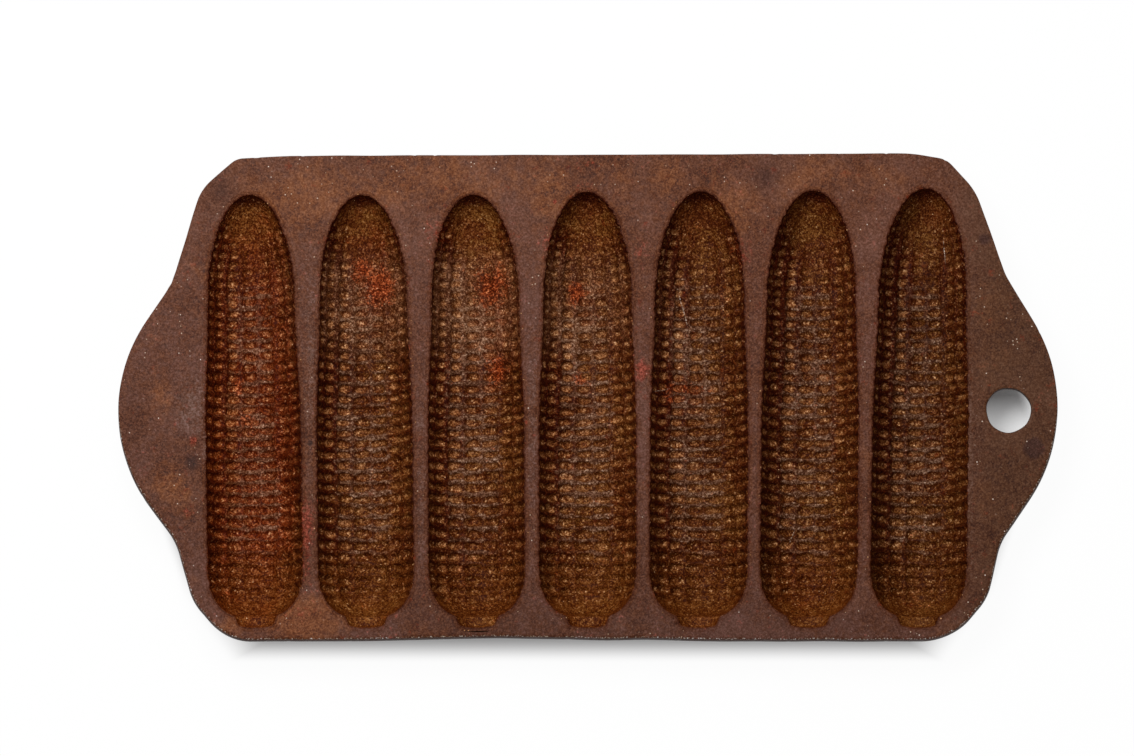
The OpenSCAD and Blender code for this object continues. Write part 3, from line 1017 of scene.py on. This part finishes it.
def castIron(name, look, mould):
    mix = Recipe(name)
    place = mix.node("ShaderNodeTexCoord", {}, {}, "Object")
    spot = mix.node("ShaderNodeVectorMath", {"operation": "SCALE"}, {0: place, "Scale": 1 / mm})
    flat = mix.vector("MULTIPLY", spot, (1, 1, 0))
    across = mix.axis(spot, "X")
    along = mix.axis(spot, "Y")
    height = mix.axis(spot, "Z")
    facing = mix.axis(mix.node("ShaderNodeNewGeometry", {}, {}, "Normal"), "Z")
    worn = mix.painted("worn")

    broad = mix.grain(spot, *grains["broad"])
    blotch = mix.grain(spot, *grains["blotch"])
    patch = mix.grain(spot, *grains["patch"])
    mottle = mix.grain(spot, *grains["mottle"])
    grit = mix.grain(spot, *grains["grit"])
    fine = mix.grain(spot, *grains["fine"])
    cells = {"Vector": spot, "Scale": 1 / look["sandSize"]}
    sand = mix.node("ShaderNodeTexVoronoi", {"feature": "F1"}, cells, "Distance")

    # the deck, from its brown and purple ground to the soot on top
    ground = broad * 0.5 + blotch * 0.5 + (grit - 0.5) * 0.5
    deck = mix.blend(ground.step(0.38, 0.62), look["brown"], look["purple"])
    tint = stainMask(mix, flat, stains["tint"])
    tint = tint + (patch - 0.5) * 2.4 + (mottle - 0.5) * 1.2 + (grit - 0.5) * 0.5
    deck = mix.blend(tint.step(0.1, 1.0) * covers["warm"], deck, look["warm"])
    grey = stainMask(mix, flat, stains["grey"]) + (blotch - 0.5) * 1.6 + (grit - 0.5) * 2.2
    deck = mix.blend(grey.step(0.3, 1.2) * covers["grey"], deck, look["grey"])
    warmer = (along + (blotch - 0.5) * 30).step(*fades["backWarm"])
    deck = mix.blend(warmer * covers["backWarm"], deck, look["warm"])
    darker = across.step(*fades["frontRight"]) * 0.1 - across.step(*fades["frontLeft"]) * 0.11
    darker = along.step(*fades["front"]) * darker + along.step(*fades["back"]) * 0.05
    deck = mix.shade(deck, 0.97 + along.atMost(0) * 0.0011 - darker)
    rightEnd = (across + (blotch - 0.5) * 20).step(*fades["rightEnd"])
    deck = mix.blend(rightEnd * covers["rightEnd"], deck, look["rightEnd"])
    soot = stainMask(mix, flat, stains["soot"]) + (broad - 0.5) * 0.9 + (mottle - 0.5) * 1.5
    deck = mix.blend(soot.step(0.2, 0.95) * covers["sooty"], deck, look["sooty"])
    colour = deck

    if mould:
        # the cup, from its ground to kernels with painted highlight and shade, worn ridges and the rim's
        # painted shade
        inCup = (deckTop - height).step(*fades["cupTop"])
        hollow = mix.painted("hollow")
        lower = along.step(*fades["lower"])
        cup = mix.blend((patch * 0.6 + mottle * 0.4).step(0.42, 0.6), look["smooth"], look["olive"])
        ruddy = stainMask(mix, flat, stains["ruddy"]) + (blotch - 0.5) * 1.2
        cup = mix.blend(ruddy.step(0.1, 0.8) * covers["ruddy"], cup, look["ruddy"])
        # painted shade: the gaps round the kernels and the line at the lip's edge are darkened as shade falls
        # in them, less on worn and lower parts
        gap = 1.12 - worn * 0.25 - lower * 0.2 + (mottle - 0.5) * 1.4 + (blotch - 0.5) * 0.8
        gap = mix.painted("gap") * gap
        cup = mix.blend(gap.step(0.0, 1.0) * covers["gap"], cup, look["gap"])
        # the kernels' floors are lighter: partly the greasy patina's own colour, partly a painted highlight
        shine = 0.8 - lower * 0.3 + (blotch - 0.5) * 1.2 + (mottle - 0.5) * 2 + (grit - 0.5) * 1.2
        shine = hollow * shine
        cup = mix.blend(shine.step(0.1, 1.0) * covers["floor"], cup, look["floor"])
        streak = mix.grain(mix.vector("MULTIPLY", spot, (0.25, 1.6, 0.8)), *grains["streak"])
        wear = (mix.painted("ridge") + 0.25) * worn * (0.8 + (blotch - 0.5) * 3 + (mottle - 0.5) * 2)
        ridge = mix.blend(streak.step(0.45, 0.75), look["ridge"], look["ridgeWorn"])
        cup = mix.blend(wear.step(0.1, 0.7) * covers["ridge"], cup, ridge)
        butt = (along + (blotch - 0.5) * 14).step(*fades["butt"])
        cup = mix.blend(butt * covers["butt"], cup, look["butt"])
        dimmer = across.step(*fades["rightCups"]) * 0.1 + across.step(*fades["lastCup"]) * 0.16
        cup = mix.shade(cup, 1.17 - dimmer)
        # painted sheen: the upper cups of the left ears are lightened towards a pale tan, as a satin
        # reflection
        paintedSheen = along.step(*fades["paintedSheenFrom"]) * along.step(*fades["paintedSheenTo"])
        paintedSheen = paintedSheen * across.step(*fades["paintedSheenRight"]) * across.step(*fades["paintedSheenLeft"])
        paintedSheen = paintedSheen * (0.32 + (blotch - 0.5) * 0.5 + (grit - 0.5) * 0.4).atLeast(0)
        cup = mix.blend(paintedSheen, cup, look["paintedSheen"])
        # the cups are darker and redder at the dim spots; on the first ear's left wall this is painted shade
        dim = stainMask(mix, flat, stains["dim"]).atMost(1)
        cup = mix.tone(cup, 1 - dim * 0.4, look["wallShare"])
        cup = mix.blend(across.step(*fades["firstCup"]) * covers["firstEar"], cup, look["firstEar"])
        # painted shade: the wall just under the rim and round the tip is darkened
        rim = mix.painted("rim") * (0.9 + (mottle - 0.5) * 2.4 + (blotch - 0.5) * 1.5)
        cup = mix.blend(rim.step(0.1, 0.9) * covers["rim"], cup, look["gap"])
        # the lip darkened irregularly: burnt-on residue and painted shade of the rim
        burntAndShaded = mix.painted("burnAndShade") - 0.72 - grey.step(0.7, 1.4) + (mottle - 0.5) * 1.5 + (grit - 0.5) * 1.2
        deck = mix.blend(burntAndShaded.step(0.0, 0.25) * covers["burntAndShaded"], deck, look["burntAndShaded"])
        colour = mix.blend(inCup, deck, cup)
        scratched = (scratchMask(mix, flat, scratches) * 2).atMost(1) * grit.step(0.34, 0.52) * inCup
        colour = mix.blend(scratched * covers["scratched"], colour, look["scratched"])
    else:
        chipped = worn.step(0.4, 1.0) * mix.grain(spot, *grains["chip"]).step(0.52, 0.62)
        colour = mix.blend(chipped * covers["chip"], colour, look["chip"])

    # rust, freckles and bright specks over everything; in the cups the specks are golden painted glints
    rustMask = stainMask(mix, flat, stains["rust"])
    rustMask = rustMask + (blotch - 0.5) * 1.4 + (mottle - 0.5) * 1.6 + (grit - 0.5) * 1.8
    rustGrain = (fine * 0.5 + grit * 0.5).step(0.42, 0.66)
    rust = mix.blend(rustGrain, look["rustDeck"], look["rustDeckBright"])
    if mould:
        rust = mix.blend(inCup, rust, mix.blend(rustGrain, look["rust"], look["rustBright"]))
    rusted = rustMask.step(0.3, 1.1) * (fine * 0.5 + 0.5)
    colour = mix.blend(rusted, colour, rust)

    freckle = mix.grain(spot, *grains["freckle"]).step(0.6, 0.74)
    colour = mix.blend(freckle * covers["freckle"], colour, look["rust"])
    if mould:
        # painted glints: small golden flecks in the cups, most in the hollows
        paintedGlints = (fine * 0.7 + grit * 0.3).step(0.54, 0.72) * mottle * inCup * (0.4 + hollow * 0.9)
        colour = mix.blend(paintedGlints, colour, look["paintedGlints"])
    cells = {"Vector": spot, "Scale": 1 / look["speckSpacing"]}
    cell = mix.node("ShaderNodeTexVoronoi", {"feature": "F1"}, cells, "Distance")
    # bright specks: golden painted glints in the cups, pale specks on the deck
    speck = cell.step(0.13, 0.07) * mix.grain(spot, *grains["speck"]).step(0.48, 0.6)
    colour = mix.blend(speck * covers["speck"], colour, look["gold"] if mould else look["speck"])

    # light and dark grain, coarser and stronger in the cups
    light = (fine - 0.47).atLeast(-0.03) * 5.5 - 0.28
    speckle = light * 0.85 + (grit - 0.5).atLeast(-0.05) * 1.2 + (mottle - 0.5) * 1.1 + (0.47 - sand) * 0.6
    speckle = speckle + (blotch - 0.5) * 1.2 + (broad - 0.5) * 1.0
    if mould:
        extra = light * 0.85 + (grit - 0.5) * 1.0 + (mottle - 0.5) * 0.2 + (0.47 - sand)
        calmer = 1 - along.step(*fades["stalk"]) * 0.35
        speckle = speckle + (extra + fine.step(0.58, 0.8) * 1.0) * inCup * calmer
    colour = mix.tone(colour, (speckle + 0.97).atLeast(0.2), look["toneShare"])
    if mould:
        # painted shade: the cups' steep walls are darkened and reddened
        wall = 1 - facing.step(0.0, 0.7)
        colour = mix.tone(colour, 1 - wall * inCup * 0.45, look["wallShare"])
    else:
        # painted shade: the plate's upright sides and the hole's wall are darkened, less where the edge is
        # chipped
        side = facing.step(0.8, 0.2) * (1 - worn * 0.6)
        colour = mix.blend(side * covers["side"], colour, look["side"])
    # painted shade: faces turned downwards are darkened
    below = facing.step(-0.1, -0.5)
    colour = mix.blend(below * covers["under"], colour, look["under"])
    mix.feed("Base Color", colour)

    rough = look["roughness"] + (mottle - 0.5) * 0.5 + rusted * 0.25
    mix.feed("Roughness", rough.atLeast(0.25).atMost(0.95))
    mix.shader.inputs["Specular IOR Level"].default_value = look["sheen"]["cup" if mould else "deck"]

    relief = fine * 0.05 + grit * 0.07 + mottle * 0.1 + blotch * 0.15 + rusted * grit * 0.2
    if mould:
        relief = relief + inCup * (fine * 0.09 + grit * 0.09)
    bumped = mix.node("ShaderNodeBump", {}, {"Strength": 1.0, "Distance": mm, "Height": relief})
    mix.feed("Normal", bumped)
    return mix.material


deckIron = castIron("deckIron", ironLook, False)
mouldIron = castIron("mouldIron", ironLook, True)
print("materials made")

slab = castSlab(plateShape, earShape)
slabPiece("deckPlate", slab, -seamX, seamX, "top_plate", deckIron)
slabPiece("leftHandle", slab, None, -seamX, "left_handle", deckIron)
slabPiece("rightHandle", slab, seamX, None, "right_handle", deckIron)
slab.free()
print("plate and handles cast")

for index in range(earCount):
    earPiece(index, earShape, kernelShape, earMarks, mouldIron)
print("ears moulded")

# Pale paper under the pan, with a painted glow for the camera, and one soft lamp above it, to the left and a
# little behind
studio = {
    "paper": paint(250, 250, 250),
    "glowUnder": 0.15,
    "glowHole": (0.5, 0.25),
    "holeSides": (14, 10),
    "holeAlong": (-9, 12),
    "glowBeyond": 0.96,
    "glowReach": (-4.9, 4.6),
    "backEdge": 82.5,
    "frontEdge": 89.8,
    "endEdge": {"centre": (0, -7), "slope": (1, 0.33), "reach": 163},
    "cornerEdge": {"centre": (-0.6, -3), "slope": (0.41, 0.3), "reach": 75.9},
    "floorSize": 8.0,
    "ambient": 0.36,
    "lampPlace": (-0.2, 0.32, 0.95),
    "lampSize": 0.5,
    "lampPower": 8.4,
}


# To the camera the paper glows white from a few millimetres outside the pan, a painted light that hides the
# pan's shadow there, and glows less under the pan so that its shadow shows. The pan's outline is taken as a
# few straight edges, and outside is roughly how far beyond them a place lies.
def paperMaterial(s):
    mix = Recipe("palePaper")
    mix.shader.inputs["Base Color"].default_value = s["paper"]
    mix.shader.inputs["Roughness"].default_value = 0.9
    glow = mix.node("ShaderNodeEmission", {}, {"Color": (1, 1, 1, 1), "Strength": 1.0})
    place = mix.node("ShaderNodeTexCoord", {}, {}, "Object")
    x = mix.axis(place, "X") / mm
    y = mix.axis(place, "Y") / mm
    outside = (y - s["backEdge"]).atLeast(-s["frontEdge"] - y)
    for edge in (s["endEdge"], s["cornerEdge"]):
        centre, slope = edge["centre"], edge["slope"]
        beyond = (x - centre[0]).size() * slope[0] + (y - centre[1]).size() * slope[1] - edge["reach"]
        outside = outside.atLeast(beyond)
    # painted shade: through the hanging hole the paper's glow goes from dark at the back to light at the
    # front
    most, less = s["glowHole"]
    inHole = (x - plateShape["holeCentre"][0]).size().step(*s["holeSides"])
    inHole = inHole * ((y * -1).step(*s["holeAlong"]) * most - less)
    under = (s["glowUnder"] + inHole).atLeast(0)
    share = under + outside.step(*s["glowReach"]) * (s["glowBeyond"] - under)
    cameraRay = mix.node("ShaderNodeLightPath", {}, {}, "Is Camera Ray")
    glossyRay = mix.node("ShaderNodeLightPath", {}, {}, "Is Glossy Ray")
    seen = cameraRay + glossyRay
    body = Wire(mix, mix.shader.outputs[0])
    both = mix.node("ShaderNodeMixShader", {}, {0: seen.atMost(1) * share, 1: body, 2: glow})
    mix.tree.links.new(both.socket, mix.tree.nodes["Material Output"].inputs["Surface"])
    return mix.material


def lightStudio(s):
    mesh = bpy.data.meshes.new("paperFloor")
    h = s["floorSize"] / 2
    mesh.from_pydata([(-h, -h, 0), (h, -h, 0), (h, h, 0), (-h, h, 0)], [], [(0, 1, 2, 3)])
    floor = bpy.data.objects.new("paperFloor", mesh)
    bpy.context.collection.objects.link(floor)
    mesh.materials.append(paperMaterial(s))
    world = bpy.data.worlds.new("studioAir")
    world.use_nodes = True
    air = world.node_tree.nodes["Background"]
    air.inputs["Color"].default_value = (1, 1, 1, 1)
    air.inputs["Strength"].default_value = s["ambient"]
    bpy.context.scene.world = world
    light = bpy.data.lights.new("softLamp", "AREA")
    light.shape = "DISK"
    light.size = s["lampSize"]
    light.energy = s["lampPower"]
    lamp = bpy.data.objects.new("softLamp", light)
    bpy.context.collection.objects.link(lamp)
    lamp.location = s["lampPlace"]
    lamp.rotation_euler = (-Vector(s["lampPlace"])).to_track_quat("-Z", "Y").to_euler()
    bpy.context.scene.view_settings.view_transform = "Standard"
    print("studio lit")


lightStudio(studio)
